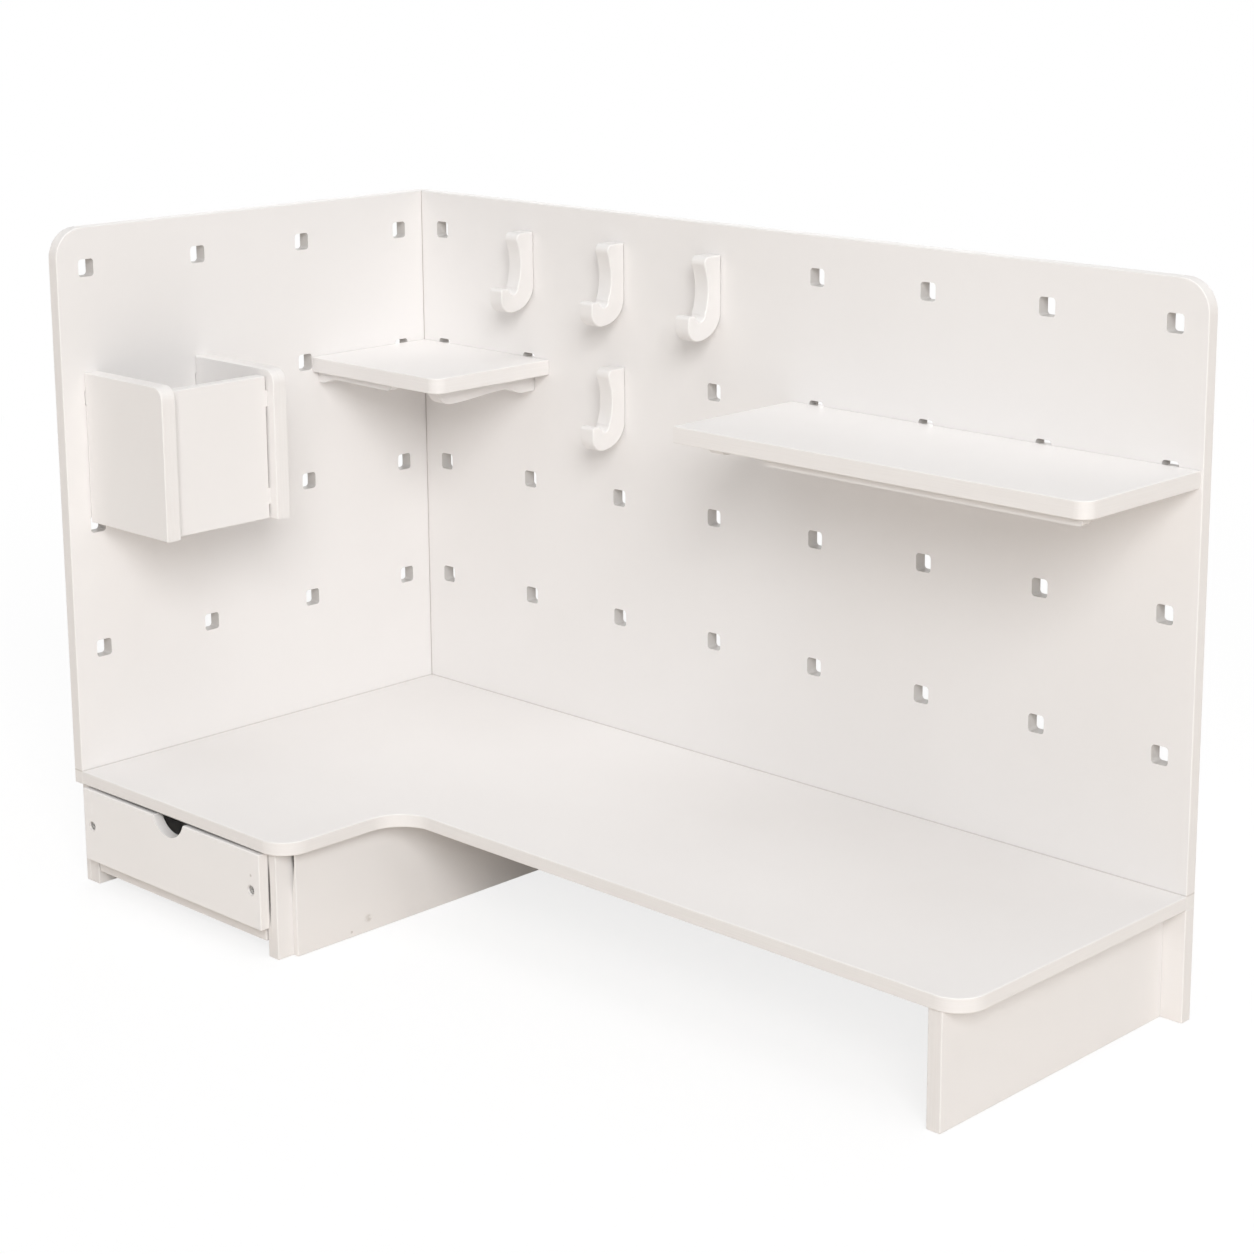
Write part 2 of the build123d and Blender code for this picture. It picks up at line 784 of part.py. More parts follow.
nodes = {
    "worktop_board": worktop_board(),
    "back_pegboard": back_pegboard(),
    "left_pegboard": left_pegboard(),
    "back_lower_panel": back_lower_panel(),
    "left_lower_panel": left_lower_panel(),
    "inner_leg_panel": inner_leg_panel(),
    "right_leg_panel": right_leg_panel(),
    "drawer_left_leg": drawer_left_leg(),
    "drawer_right_leg": drawer_right_leg(),
    "drawer_left_runner": drawer_left_runner(),
    "drawer_right_runner": drawer_right_runner(),
    "drawer_front": drawer_front(),
    "drawer_floor": drawer_floor(),
    "drawer_left_side": drawer_side(drawer_left, drawer_left + drawer_board_thickness),
    "drawer_right_side": drawer_side(drawer_right - drawer_board_thickness, drawer_right),
    "drawer_back": drawer_back(),
    "pen_box_near_side": pen_box_side(pen_box_columns[0]),
    "pen_box_far_side": pen_box_side(pen_box_columns[1]),
    "pen_box_front": pen_box_front(),
    "pen_box_floor": pen_box_floor(),
    "corner_shelf_board": shelf_board(
        corner_shelf_left, corner_shelf_right, corner_shelf_depth, corner_shelf_columns
    ),
    "corner_shelf_bracket": shelf_bracket(
        corner_bracket_column, corner_shelf_depth, corner_bracket_nose_height
    ),
    "corner_shelf_rail": corner_rail(),
    "long_shelf_board": shelf_board(long_shelf_left, long_shelf_right, long_shelf_depth, long_shelf_columns),
    "long_shelf_brackets": group(
        shelf_bracket(c, long_shelf_depth, long_bracket_nose_height) for c in long_shelf_columns[:-1]
    ),
    "long_shelf_rail": long_rail(),
    "worktop_back_screws": group(screw_solid(*s) for s in back_screws),
    "worktop_left_screws": group(screw_solid(*s) for s in left_screws),
    "corner_screws": group(screw_solid(*s) for s in corner_screws),
    "leg_screws": group(screw_solid(*s) for s in leg_screws),
    "runner_screws": group(screw_solid(*s) for s in left_runner_screws + right_runner_screws),
    "leg_dowels": group(dowel_solid(*d) for d in leg_dowels),
    "panel_dowels": group(dowel_solid(*d) for d in panel_dowels),
    "drawer_front_screws": group(screw_solid(*s, recess=True) for s in front_screws),
    "drawer_floor_screws": group(screw_solid(*s) for s in floor_screws),
}
for number, place in enumerate(hook_places, start=1):
    nodes[f"hook_{number}"] = hook(*place)

os.makedirs("parts", exist_ok=True)
for name, shape in nodes.items():
    export_step(shape, f"parts/{name}.step")
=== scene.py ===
"""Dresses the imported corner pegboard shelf: white boards, plug-in accessories, a drawer and hardware.

Metres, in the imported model's own frame: +X along the long pegboard, +Y to the back, +Z up.
"""
import logging
import math
from dataclasses import dataclass
from enum import Enum

import bpy
import numpy as np
from mathutils import Matrix, Vector


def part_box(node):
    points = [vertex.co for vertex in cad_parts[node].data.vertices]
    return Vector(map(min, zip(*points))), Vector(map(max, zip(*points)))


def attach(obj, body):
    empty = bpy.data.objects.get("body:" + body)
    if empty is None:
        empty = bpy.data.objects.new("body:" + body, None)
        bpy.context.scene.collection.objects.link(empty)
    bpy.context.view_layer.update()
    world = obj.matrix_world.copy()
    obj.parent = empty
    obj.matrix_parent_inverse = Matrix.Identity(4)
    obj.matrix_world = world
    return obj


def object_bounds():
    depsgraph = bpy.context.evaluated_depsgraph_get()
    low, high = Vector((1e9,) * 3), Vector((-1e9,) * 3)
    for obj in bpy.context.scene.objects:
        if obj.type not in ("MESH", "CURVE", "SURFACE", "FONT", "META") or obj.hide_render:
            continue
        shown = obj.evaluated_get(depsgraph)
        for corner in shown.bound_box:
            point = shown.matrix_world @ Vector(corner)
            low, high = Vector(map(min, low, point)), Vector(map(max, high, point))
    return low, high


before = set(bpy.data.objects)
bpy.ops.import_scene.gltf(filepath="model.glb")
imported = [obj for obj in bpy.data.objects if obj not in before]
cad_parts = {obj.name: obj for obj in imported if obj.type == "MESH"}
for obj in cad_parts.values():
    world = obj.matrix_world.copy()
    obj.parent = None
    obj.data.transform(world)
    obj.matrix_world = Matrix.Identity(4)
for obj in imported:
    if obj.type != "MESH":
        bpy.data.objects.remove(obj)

CAD_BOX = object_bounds()
MM = 0.001
LOG = logging.getLogger("corner_pegboard_shelf")

HOOK_COUNT = 4

Colour = tuple[float, float, float]
Place = tuple[float, float, float]
Span = tuple[float, float]


class Axis(Enum):
    """The thin direction of a board."""

    X = 0
    Y = 1
    Z = 2


class Number:
    """A shader number that takes Python's operators, each of which adds a Math node."""

    def __init__(self, tree: "Tree", socket: bpy.types.NodeSocket) -> None:
        """Wraps an output socket.

        Args:
            tree: the node tree that the socket belongs to.
            socket: the output that carries the number.
        """
        self.tree = tree
        self.socket = socket

    def math(self, operation: str, *terms: "Number | float") -> "Number":
        """Adds one Math node.

        Args:
            operation: the node's operation.
            terms: its inputs in order.

        Returns:
            The node's result.
        """
        return self.tree.number("ShaderNodeMath", {"operation": operation}, dict(enumerate(terms)))

    def __add__(self, other: "Number | float") -> "Number":
        """self + other."""
        return self.math("ADD", self, other)

    def __radd__(self, other: float) -> "Number":
        """other + self."""
        return self.math("ADD", other, self)

    def __sub__(self, other: "Number | float") -> "Number":
        """self - other."""
        return self.math("SUBTRACT", self, other)

    def __rsub__(self, other: float) -> "Number":
        """other - self."""
        return self.math("SUBTRACT", other, self)

    def __mul__(self, other: "Number | float") -> "Number":
        """self * other."""
        return self.math("MULTIPLY", self, other)

    def __rmul__(self, other: float) -> "Number":
        """other * self."""
        return self.math("MULTIPLY", other, self)

    def __abs__(self) -> "Number":
        """The size of the number, without its sign."""
        return self.math("ABSOLUTE", self)

    def at_least(self, other: "Number | float") -> "Number":
        """The larger of the two."""
        return self.math("MAXIMUM", self, other)

    def swing(self, half: float) -> "Number":
        """How far the number is from the nearest multiple of twice half."""
        return self.math("PINGPONG", self, half)

    def step(self, low: float, high: float) -> "Number":
        """A smooth step from 0 at low to 1 at high.

        Args:
            low: where the step starts.
            high: where it ends.

        Returns:
            The eased number between 0 and 1.
        """
        settings = {"interpolation_type": "SMOOTHSTEP"}
        sockets = {"Value": self, "From Min": low, "From Max": high}
        return self.tree.number("ShaderNodeMapRange", settings, sockets, "Result")


class Tree:
    """One node tree, and the ways to add to it."""

    def __init__(self, tree: bpy.types.NodeTree) -> None:
        """Empties a node tree and takes it over."""
        self.tree = tree
        self.tree.nodes.clear()

    def node(self, kind: str, settings: dict | None = None, sockets: dict | None = None) -> bpy.types.Node:
        """Adds a node, sets it, and then feeds its sockets.

        Args:
            kind: the node's type name.
            settings: attributes to set first.
            sockets: values, sockets or Numbers by socket name or place.

        Returns:
            The new node.
        """
        node = self.tree.nodes.new(kind)
        for key, value in (settings or {}).items():
            setattr(node, key, value)
        for key, value in (sockets or {}).items():
            self.feed(node.inputs[key], value)
        return node

    def feed(self, target: bpy.types.NodeSocket, value: object) -> None:
        """Links or sets one input socket.

        Args:
            target: the input.
            value: a Number, an output socket, a colour, a vector or a plain number.
        """
        if isinstance(value, Number):
            self.tree.links.new(value.socket, target)
        elif isinstance(value, bpy.types.NodeSocket):
            self.tree.links.new(value, target)
        elif target.type == "RGBA":
            target.default_value = (*value, 1.0)
        else:
            target.default_value = value

    def number(
        self, kind: str, settings: dict | None, sockets: dict | None, output: str | int = 0
    ) -> Number:
        """Adds a node and wraps one of its outputs as a Number."""
        return Number(self, self.node(kind, settings, sockets).outputs[output])

    def place(self) -> bpy.types.NodeSocket:
        """The point on the piece, in its own frame, in metres."""
        return self.node("ShaderNodeTexCoord").outputs["Object"]

    def facing(self) -> bpy.types.NodeSocket:
        """The direction that the surface faces, in the piece's own frame."""
        return self.node("ShaderNodeTexCoord").outputs["Normal"]

    def parts(self, vector: bpy.types.NodeSocket) -> list[Number]:
        """The three numbers of a vector."""
        outputs = self.node("ShaderNodeSeparateXYZ", None, {"Vector": vector}).outputs
        return [Number(self, output) for output in outputs]

    def stretched(self, vector: bpy.types.NodeSocket, scale: Place) -> bpy.types.NodeSocket:
        """A vector multiplied along each axis."""
        sockets = {0: vector, 1: scale}
        return self.node("ShaderNodeVectorMath", {"operation": "MULTIPLY"}, sockets).outputs["Vector"]

    def noise(
        self, vector: bpy.types.NodeSocket, scale: float, detail: float, roughness: float = 0.5
    ) -> Number:
        """Cloudy noise between 0 and 1.

        Args:
            vector: where to read it.
            scale: cells per metre.
            detail: octaves.
            roughness: how much the fine octaves weigh.

        Returns:
            The noise value.
        """
        sockets = {"Vector": vector, "Scale": scale, "Detail": detail, "Roughness": roughness}
        return self.number("ShaderNodeTexNoise", None, sockets, "Fac")

    def mix(self, factor: Number | float, first: object, second: object) -> bpy.types.NodeSocket:
        """Mixes two colours.

        Args:
            factor: 0 gives the first and 1 the second.
            first: a colour or its socket.
            second: a colour or its socket.

        Returns:
            The mixed colour.
        """
        sockets = {0: factor, 6: first, 7: second}
        return self.node("ShaderNodeMix", {"data_type": "RGBA"}, sockets).outputs[2]

    def bump(self, height: Number, distance: float, strength: float) -> bpy.types.NodeSocket:
        """A bumped normal from a height between 0 and 1."""
        sockets = {"Height": height, "Distance": distance, "Strength": strength}
        return self.node("ShaderNodeBump", None, sockets).outputs["Normal"]

    def principled(self, sockets: dict) -> None:
        """Ends a surface tree in one Principled shader."""
        shader = self.node("ShaderNodeBsdfPrincipled", None, sockets)
        self.node("ShaderNodeOutputMaterial", None, {"Surface": shader.outputs[0]})


def new_material(name: str) -> tuple[bpy.types.Material, Tree]:
    """A new material and its emptied tree."""
    material = bpy.data.materials.new(name)
    material.use_nodes = True
    return material, Tree(material.node_tree)


class Tone(Enum):
    """The colour that a mark leaves on a board, or that painted shade gives it."""

    # grey of real scuffs and specks, also laid as painted shade along seams
    GREY = (0.47, 0.43, 0.39)
    # painted shade on the walls of the peg holes
    HOLE_SHADE = (0.42, 0.405, 0.39)
    # painted shade laid in the narrow gaps between boards
    GAP_SHADE = (0.06, 0.054, 0.048)
    PALE = (0.93, 0.92, 0.91)


@dataclass(frozen=True)
class SmudgeAndShade:
    """A mark on a board, a real scuff or a patch of painted shade: an ellipsoid, by its middle and half sizes
    in metres, broken up by noise, as rubbing breaks a scuff.
    """

    middle: Place
    half: Place
    depth: float
    tone: Tone = Tone.GREY
    broken: float = 1.0
    breakup_scale: float = 420.0
    breakup_range: Span = (0.3, 0.62)
    core: float = 0.35

    def mask(self, tree: Tree, place: bpy.types.NodeSocket) -> Number:
        """The mark's full depth in its core, falling smoothly to 0 at the ellipsoid.

        Args:
            tree: the material's tree.
            place: the point on the piece.

        Returns:
            The mark's depth at that point.
        """
        shift = tree.node("ShaderNodeVectorMath", {"operation": "SUBTRACT"}, {0: place, 1: self.middle})
        scaled = tree.stretched(shift.outputs["Vector"], tuple(1 / size for size in self.half))
        length = tree.number("ShaderNodeVectorMath", {"operation": "LENGTH"}, {0: scaled}, "Value")
        bare = 1 - tree.noise(place, self.breakup_scale, 3.0, 0.7).step(*self.breakup_range)
        return (1 - length.step(self.core, 1.0)) * (1 - bare * self.broken) * self.depth


@dataclass(frozen=True)
class SeamShade:
    """A thin line of painted shade on a board where another board meets it: a band about one plane across an
    axis.
    """

    across: Axis
    place: float
    half: float
    depth: float
    tone: Tone = Tone.GREY
    core: float = 0.3

    def mask(self, tree: Tree, place: bpy.types.NodeSocket) -> Number:
        """The line's depth on its plane, falling smoothly to 0 at half its width.

        Args:
            tree: the material's tree.
            place: the point on the piece.

        Returns:
            The line's depth at that point.
        """
        off = abs(tree.parts(place)[self.across.value] - self.place)
        return (1 - off.step(self.half * self.core, self.half)) * self.depth


@dataclass(frozen=True)
class HoleShadeGrid:
    """Painted shade on the walls of a board's peg holes: squares that repeat along one axis and up the board.
    """

    along: Axis
    first: float
    first_up: float
    pitch: float = 100 * MM
    pitch_up: float = 96 * MM
    half: float = 6.5 * MM
    rim: Span = (0.1 * MM, 0.6 * MM)
    depth: float = 0.55
    tone: Tone = Tone.HOLE_SHADE

    def mask(self, tree: Tree, place: bpy.types.NodeSocket) -> Number:
        """The painted shade's depth inside the squares, falling to 0 across a narrow rim about them.

        Args:
            tree: the material's tree.
            place: the point on the piece.

        Returns:
            The dust's depth at that point.
        """
        parts = tree.parts(place)
        across = (parts[self.along.value] - self.first).swing(self.pitch / 2)
        up = (parts[Axis.Z.value] - self.first_up).swing(self.pitch_up / 2)
        edge = across.at_least(up).step(self.half + self.rim[0], self.half + self.rim[1])
        return (1 - edge) * self.depth


@dataclass(frozen=True)
class BoardFinish:
    """White satin board: a faintly clouded face with a fine peel, and warmer edges with saw lines."""

    face: Colour = (0.836, 0.817, 0.805)
    cloud: Colour = (0.818, 0.797, 0.783)
    edge: Colour = (0.826, 0.804, 0.788)
    line: Colour = (0.806, 0.781, 0.762)
    face_roughness: float = 0.42
    edge_roughness: float = 0.58
    face_turn: Span = (0.55, 0.85)
    cloud_scale: float = 7.0
    cloud_range: Span = (0.3, 0.75)
    cloud_share: float = 0.7
    cloud_dulls: float = 0.07
    speck_scale: float = 217.0
    speck_range: Span = (0.62, 0.78)
    speck_share: float = 0.25
    speck_dulls: float = 0.05
    peel_scale: float = 620.0
    peel_depth: float = 0.05 * MM
    peel_strength: float = 0.6
    line_scale: float = 2400.0
    line_along: float = 24.0
    line_range: Span = (0.35, 0.7)
    specular: float = 0.4

    def material(
        self, name: str, thin: Axis, marks: tuple[SmudgeAndShade | SeamShade, ...] = (), holes: HoleShadeGrid | None = None
    ) -> bpy.types.Material:
        """Makes the finish for boards that are thin along one axis.

        Args:
            name: the material's name.
            thin: the boards' thin axis.
            marks: rub marks, and painted shade along seams and gaps, that these boards carry.
            holes: the painted shade on the boards' peg hole walls.

        Returns:
            The material.
        """
        material, tree = new_material(name)
        place = tree.place()
        on_face = abs(tree.parts(tree.facing())[thin.value]).step(*self.face_turn)
        clouds = tree.noise(place, self.cloud_scale, 3.0).step(*self.cloud_range)
        specks = tree.noise(place, self.speck_scale, 2.0).step(*self.speck_range)
        stretch = [self.line_along] * 3
        stretch[thin.value] = self.line_scale
        lines = tree.noise(tree.stretched(place, tuple(stretch)), 1.0, 2.0).step(*self.line_range)
        face = tree.mix(clouds * self.cloud_share + specks * self.speck_share, self.face, self.cloud)
        edge = tree.mix(lines, self.edge, self.line)
        if holes:
            # painted shade darkens the hole walls
            edge = tree.mix(holes.mask(tree, place), edge, holes.tone.value)
        colour = tree.mix(on_face, edge, face)
        for mark in marks:
            colour = tree.mix(mark.mask(tree, place), colour, mark.tone.value)
        relief = tree.noise(place, self.peel_scale, 2.0, 0.6) * on_face + lines * (1 - on_face)
        roughness = self.edge_roughness + on_face * (self.face_roughness - self.edge_roughness)
        tree.principled(
            {
                "Base Color": colour,
                "Roughness": roughness + clouds * self.cloud_dulls + specks * self.speck_dulls,
                "Normal": tree.bump(relief, self.peel_depth, self.peel_strength),
                "Specular IOR Level": self.specular,
            }
        )
        return material


@dataclass(frozen=True)
class HookFinish:
    """Moulded white plastic of the hooks: smoother than the boards, with soft flow clouds."""

    body: Colour = (0.822, 0.803, 0.790)
    flow: Colour = (0.800, 0.780, 0.764)
    roughness: float = 0.3
    flow_scale: float = 38.0
    flow_range: Span = (0.3, 0.75)
    flow_dulls: float = 0.08
    grain_scale: float = 900.0
    grain_dulls: float = 0.05
    grain_depth: float = 0.02 * MM
    grain_strength: float = 0.5
    specular: float = 0.5

    def material(self, name: str) -> bpy.types.Material:
        """Makes the finish under a name."""
        material, tree = new_material(name)
        place = tree.place()
        flow = tree.noise(place, self.flow_scale, 2.0).step(*self.flow_range)
        grain = tree.noise(place, self.grain_scale, 2.0)
        tree.principled(
            {
                "Base Color": tree.mix(flow, self.body, self.flow),
                "Roughness": self.roughness + flow * self.flow_dulls + grain * self.grain_dulls,
                "Normal": tree.bump(grain, self.grain_depth, self.grain_strength),
                "Specular IOR Level": self.specular,
            }
        )
        return material


@dataclass(frozen=True)
class SteelFinish:
    """Zinc-plated screw steel with fine turning lines and a darker, dull bloom."""

    plate: Colour = (0.66, 0.65, 0.635)
    bloom: Colour = (0.47, 0.46, 0.445)
    metal: float = 0.55
    roughness: float = 0.46
    bloom_scale: float = 260.0
    bloom_range: Span = (0.35, 0.7)
    bloom_dulls: float = 0.2
    line_scale: float = 3200.0
    line_dulls: float = 0.1
    line_depth: float = 0.02 * MM
    line_strength: float = 0.4

    def material(self, name: str) -> bpy.types.Material:
        """Makes the finish under a name."""
        material, tree = new_material(name)
        place = tree.place()
        lines = tree.noise(place, self.line_scale, 2.0)
        bloom = tree.noise(place, self.bloom_scale, 3.0).step(*self.bloom_range)
        tree.principled(
            {
                "Base Color": tree.mix(bloom, self.plate, self.bloom),
                "Metallic": self.metal,
                "Roughness": self.roughness + bloom * self.bloom_dulls + lines * self.line_dulls,
                "Normal": tree.bump(lines, self.line_depth, self.line_strength),
            }
        )
        return material


@dataclass(frozen=True)
class DowelFinish:
    """Pale beech dowel with grain that runs upright."""

    pale: Colour = (0.60, 0.42, 0.25)
    dark: Colour = (0.42, 0.27, 0.14)
    along: float = 40.0
    across: float = 1400.0
    grain_range: Span = (0.35, 0.7)
    grain_dulls: float = 0.15
    grain_depth: float = 0.05 * MM
    grain_strength: float = 0.5
    roughness: float = 0.6

    def material(self, name: str) -> bpy.types.Material:
        """Makes the finish under a name."""
        material, tree = new_material(name)
        grain_place = tree.stretched(tree.place(), (self.across, self.across, self.along))
        grain = tree.noise(grain_place, 1.0, 3.0).step(*self.grain_range)
        tree.principled(
            {
                "Base Color": tree.mix(grain, self.pale, self.dark),
                "Roughness": self.roughness + grain * self.grain_dulls,
                "Normal": tree.bump(grain, self.grain_depth, self.grain_strength),
            }
        )
        return material


def grid_faces(rows: int, columns: int) -> np.ndarray:
    """Quads of a grid that closes on itself both ways.

    Args:
        rows: points along the first parameter.
        columns: points along the second.

    Returns:
        Four point numbers for each quad: (i, j), (i + 1, j), (i + 1, j + 1), (i, j + 1), wrapped.
    """
    i, j = np.meshgrid(np.arange(rows), np.arange(columns), indexing="ij")
    down = (i + 1) % rows
    right = (j + 1) % columns
    corners = (i * columns + j, down * columns + j, down * columns + right, i * columns + right)
    return np.stack([corner.ravel() for corner in corners], axis=1)


def mesh_piece(name: str, points: np.ndarray, faces: np.ndarray) -> bpy.types.Object:
    """Puts whole arrays of points and quads into a smooth mesh object.

    Args:
        name: the piece's name.
        points: an array of places, one row each.
        faces: an array of quads.

    Returns:
        The linked object, at the origin.
    """
    mesh = bpy.data.meshes.new(name)
    mesh.from_pydata(points.tolist(), [], faces.tolist())
    mesh.polygons.foreach_set("use_smooth", np.ones(len(faces), dtype=bool))
    mesh.update()
    piece = bpy.data.objects.new(name, mesh)
    bpy.context.scene.collection.objects.link(piece)
    return piece


@dataclass
class SubAssembly:
    """Pieces that move together and how they are dressed."""

    body: str

    def dress(self, materials: dict[str, bpy.types.Material]) -> None:
        """Gives each CAD node of the body one material.

        Args:
            materials: the material of each node.
        """
        for node, material in materials.items():
            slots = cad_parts[node].data.materials
            slots.clear()
            slots.append(material)
            LOG.info("%s: %s gets %s", self.body, node, material.name)

    def add(self, piece: bpy.types.Object, slot: str, material: bpy.types.Material) -> None:
        """Lets a new piece ride on the body in a finish.

        Args:
            piece: the new object.
            slot: not used.
            material: its finish.
        """
        piece.data.materials.append(material)
        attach(piece, self.body)
        LOG.info("%s: new piece %s with %d faces", self.body, piece.name, len(piece.data.polygons))


@dataclass
class Palette:
    """All finishes, made once."""

    board: BoardFinish
    hook: HookFinish
    steel: SteelFinish
    dowel: DowelFinish

    def make(self) -> None:
        """Makes the materials that the sub-assemblies share."""
        self.boards = {axis: self.board.material(f"white_board_{axis.name.lower()}", axis) for axis in Axis}
        self.hook_plastic = self.hook.material("hook_plastic")
        self.screw_steel = self.steel.material("screw_steel")
        self.dowel_wood = self.dowel.material("dowel_wood")


@dataclass
class Stand(SubAssembly):
    """The walls, worktop, legs and runners, with their screws and dowels."""

    body: str = "stand"
    thin_x: tuple[str, ...] = (
        "left_lower_panel", "right_leg_panel", "drawer_left_leg", "drawer_left_runner",
        "drawer_right_runner",
    )
    thin_y: tuple[str, ...] = ("back_lower_panel",)
    screws: tuple[str, ...] = (
        "worktop_back_screws", "worktop_left_screws", "corner_screws", "leg_screws", "runner_screws",
    )
    dowels: tuple[str, ...] = ("leg_dowels", "panel_dowels")
    scuff_place: Span = (65 * MM, 10.4 * MM)
    scuff_half: Place = (20 * MM, 4.6 * MM, 3.8 * MM)
    scuff_depth: float = 0.55
    speck_place: Span = (49 * MM, 4.1 * MM)
    speck_half: Place = (20 * MM, 1.6 * MM, 1.4 * MM)
    speck_depth: float = 0.7
    # width and depth of the painted shade along seams
    seam_shade_half: float = 0.9 * MM
    seam_shade_depth: float = 0.4
    # sizes and places of the painted shade in the narrow gaps
    gap_shade_depth: float = 0.95
    gap_shade_broken: float = 0.15
    panel_gap_shade_half: Place = (4.2 * MM, 30 * MM, 34 * MM)
    leg_gap_shade_inset: float = 4.5 * MM
    leg_gap_shade_half: Place = (2 * MM, 5 * MM, 34 * MM)
    front_gap_shade_offset: float = 0.3 * MM
    front_gap_shade_half: Place = (1.3 * MM, 20 * MM, 33 * MM)
    top_gap_shade_share: float = 0.62
    top_gap_shade_half: Span = (14 * MM, 1.3 * MM)
    first_hole: float = 25 * MM
    hole_row: float = 182 * MM

    def gap(self, middle: Place, half: Place) -> SmudgeAndShade:
        """Painted shade for a narrow gap between two boards: a dark patch laid where the gap's shade falls.

        Args:
            middle: the middle of the dark patch.
            half: its half sizes.

        Returns:
            The mark.
        """
        return SmudgeAndShade(middle, half, self.gap_shade_depth, Tone.GAP_SHADE, self.gap_shade_broken)

    def walls(self, palette: Palette) -> None:
        """Dresses the pegboards, with painted shade on the hole walls and a seam of painted shade in the
        inside corner and at the worktop.
        """
        left, back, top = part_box("left_pegboard"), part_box("back_pegboard"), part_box("worktop_board")
        # painted shade along the seams in the inside corner and at the worktop
        worktop_seam_shade = SeamShade(Axis.Z, top[1].z, self.seam_shade_half, self.seam_shade_depth)
        left_seam_shades = (worktop_seam_shade, SeamShade(Axis.Y, back[0].y, self.seam_shade_half, self.seam_shade_depth))
        back_seam_shades = (worktop_seam_shade, SeamShade(Axis.X, left[1].x, self.seam_shade_half, self.seam_shade_depth))
        # painted shade on the walls of the peg holes
        left_hole_shade = HoleShadeGrid(Axis.Y, back[0].y - self.first_hole, self.hole_row)
        back_hole_shade = HoleShadeGrid(Axis.X, left[1].x + self.first_hole, self.hole_row)
        finish = palette.board.material
        self.dress({"left_pegboard": finish("white_board_left_pegboard", Axis.X, left_seam_shades, left_hole_shade)})
        self.dress({"back_pegboard": finish("white_board_back_pegboard", Axis.Y, back_seam_shades, back_hole_shade)})

    def slit(self, palette: Palette) -> None:
        """Dresses the inner panel and the leg beside it, with painted shade in the upper part of the slit
        between them and beside the drawer front.

        The panel also has a scuff and a speck, placed from its front and its foot.
        """
        low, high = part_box("inner_leg_panel")
        scuff = (high.x, low.y + self.scuff_place[0], self.scuff_place[1])
        speck = (high.x, low.y + self.speck_place[0], self.speck_place[1])
        panel_marks = (
            SmudgeAndShade(scuff, self.scuff_half, self.scuff_depth),
            SmudgeAndShade(speck, self.speck_half, self.speck_depth),
            # painted shade at the top of the slit beside the leg
            self.gap((low.x, low.y, high.z), self.panel_gap_shade_half),
        )
        front_low, front_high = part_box("drawer_front")
        leg_low, leg_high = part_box("drawer_right_leg")
        front_middle = (front_low.z + front_high.z) / 2
        beside_front = (front_high.x + self.front_gap_shade_offset, leg_low.y, front_middle)
        leg_shades = (
            # painted shade in the slit and beside the drawer front
            self.gap((leg_high.x, low.y + self.leg_gap_shade_inset, high.z), self.leg_gap_shade_half),
            self.gap(beside_front, self.front_gap_shade_half),
        )
        finish = palette.board.material
        self.dress({"inner_leg_panel": finish("white_board_inner_panel", Axis.X, panel_marks)})
        self.dress({"drawer_right_leg": finish("white_board_drawer_right_leg", Axis.X, leg_shades)})

    def worktop(self, palette: Palette) -> None:
        """Dresses the worktop, with painted shade along the gap over the drawer front."""
        front_low, front_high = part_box("drawer_front")
        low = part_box("worktop_board")[0]
        middle = ((front_low.x + front_high.x) / 2, low.y, low.z)
        half = (self.top_gap_shade_share * (front_high.x - front_low.x), *self.top_gap_shade_half)
        # painted shade along the gap over the drawer front
        marks = (self.gap(middle, half),)
        self.dress({"worktop_board": palette.board.material("white_board_worktop", Axis.Z, marks)})

    def build(self, palette: Palette) -> None:
        """Dresses the whole stand."""
        self.dress({node: palette.boards[Axis.X] for node in self.thin_x})
        self.dress({node: palette.boards[Axis.Y] for node in self.thin_y})
        self.walls(palette)
        self.slit(palette)
        self.worktop(palette)
        self.dress({node: palette.screw_steel for node in self.screws})
        self.dress({node: palette.dowel_wood for node in self.dowels})


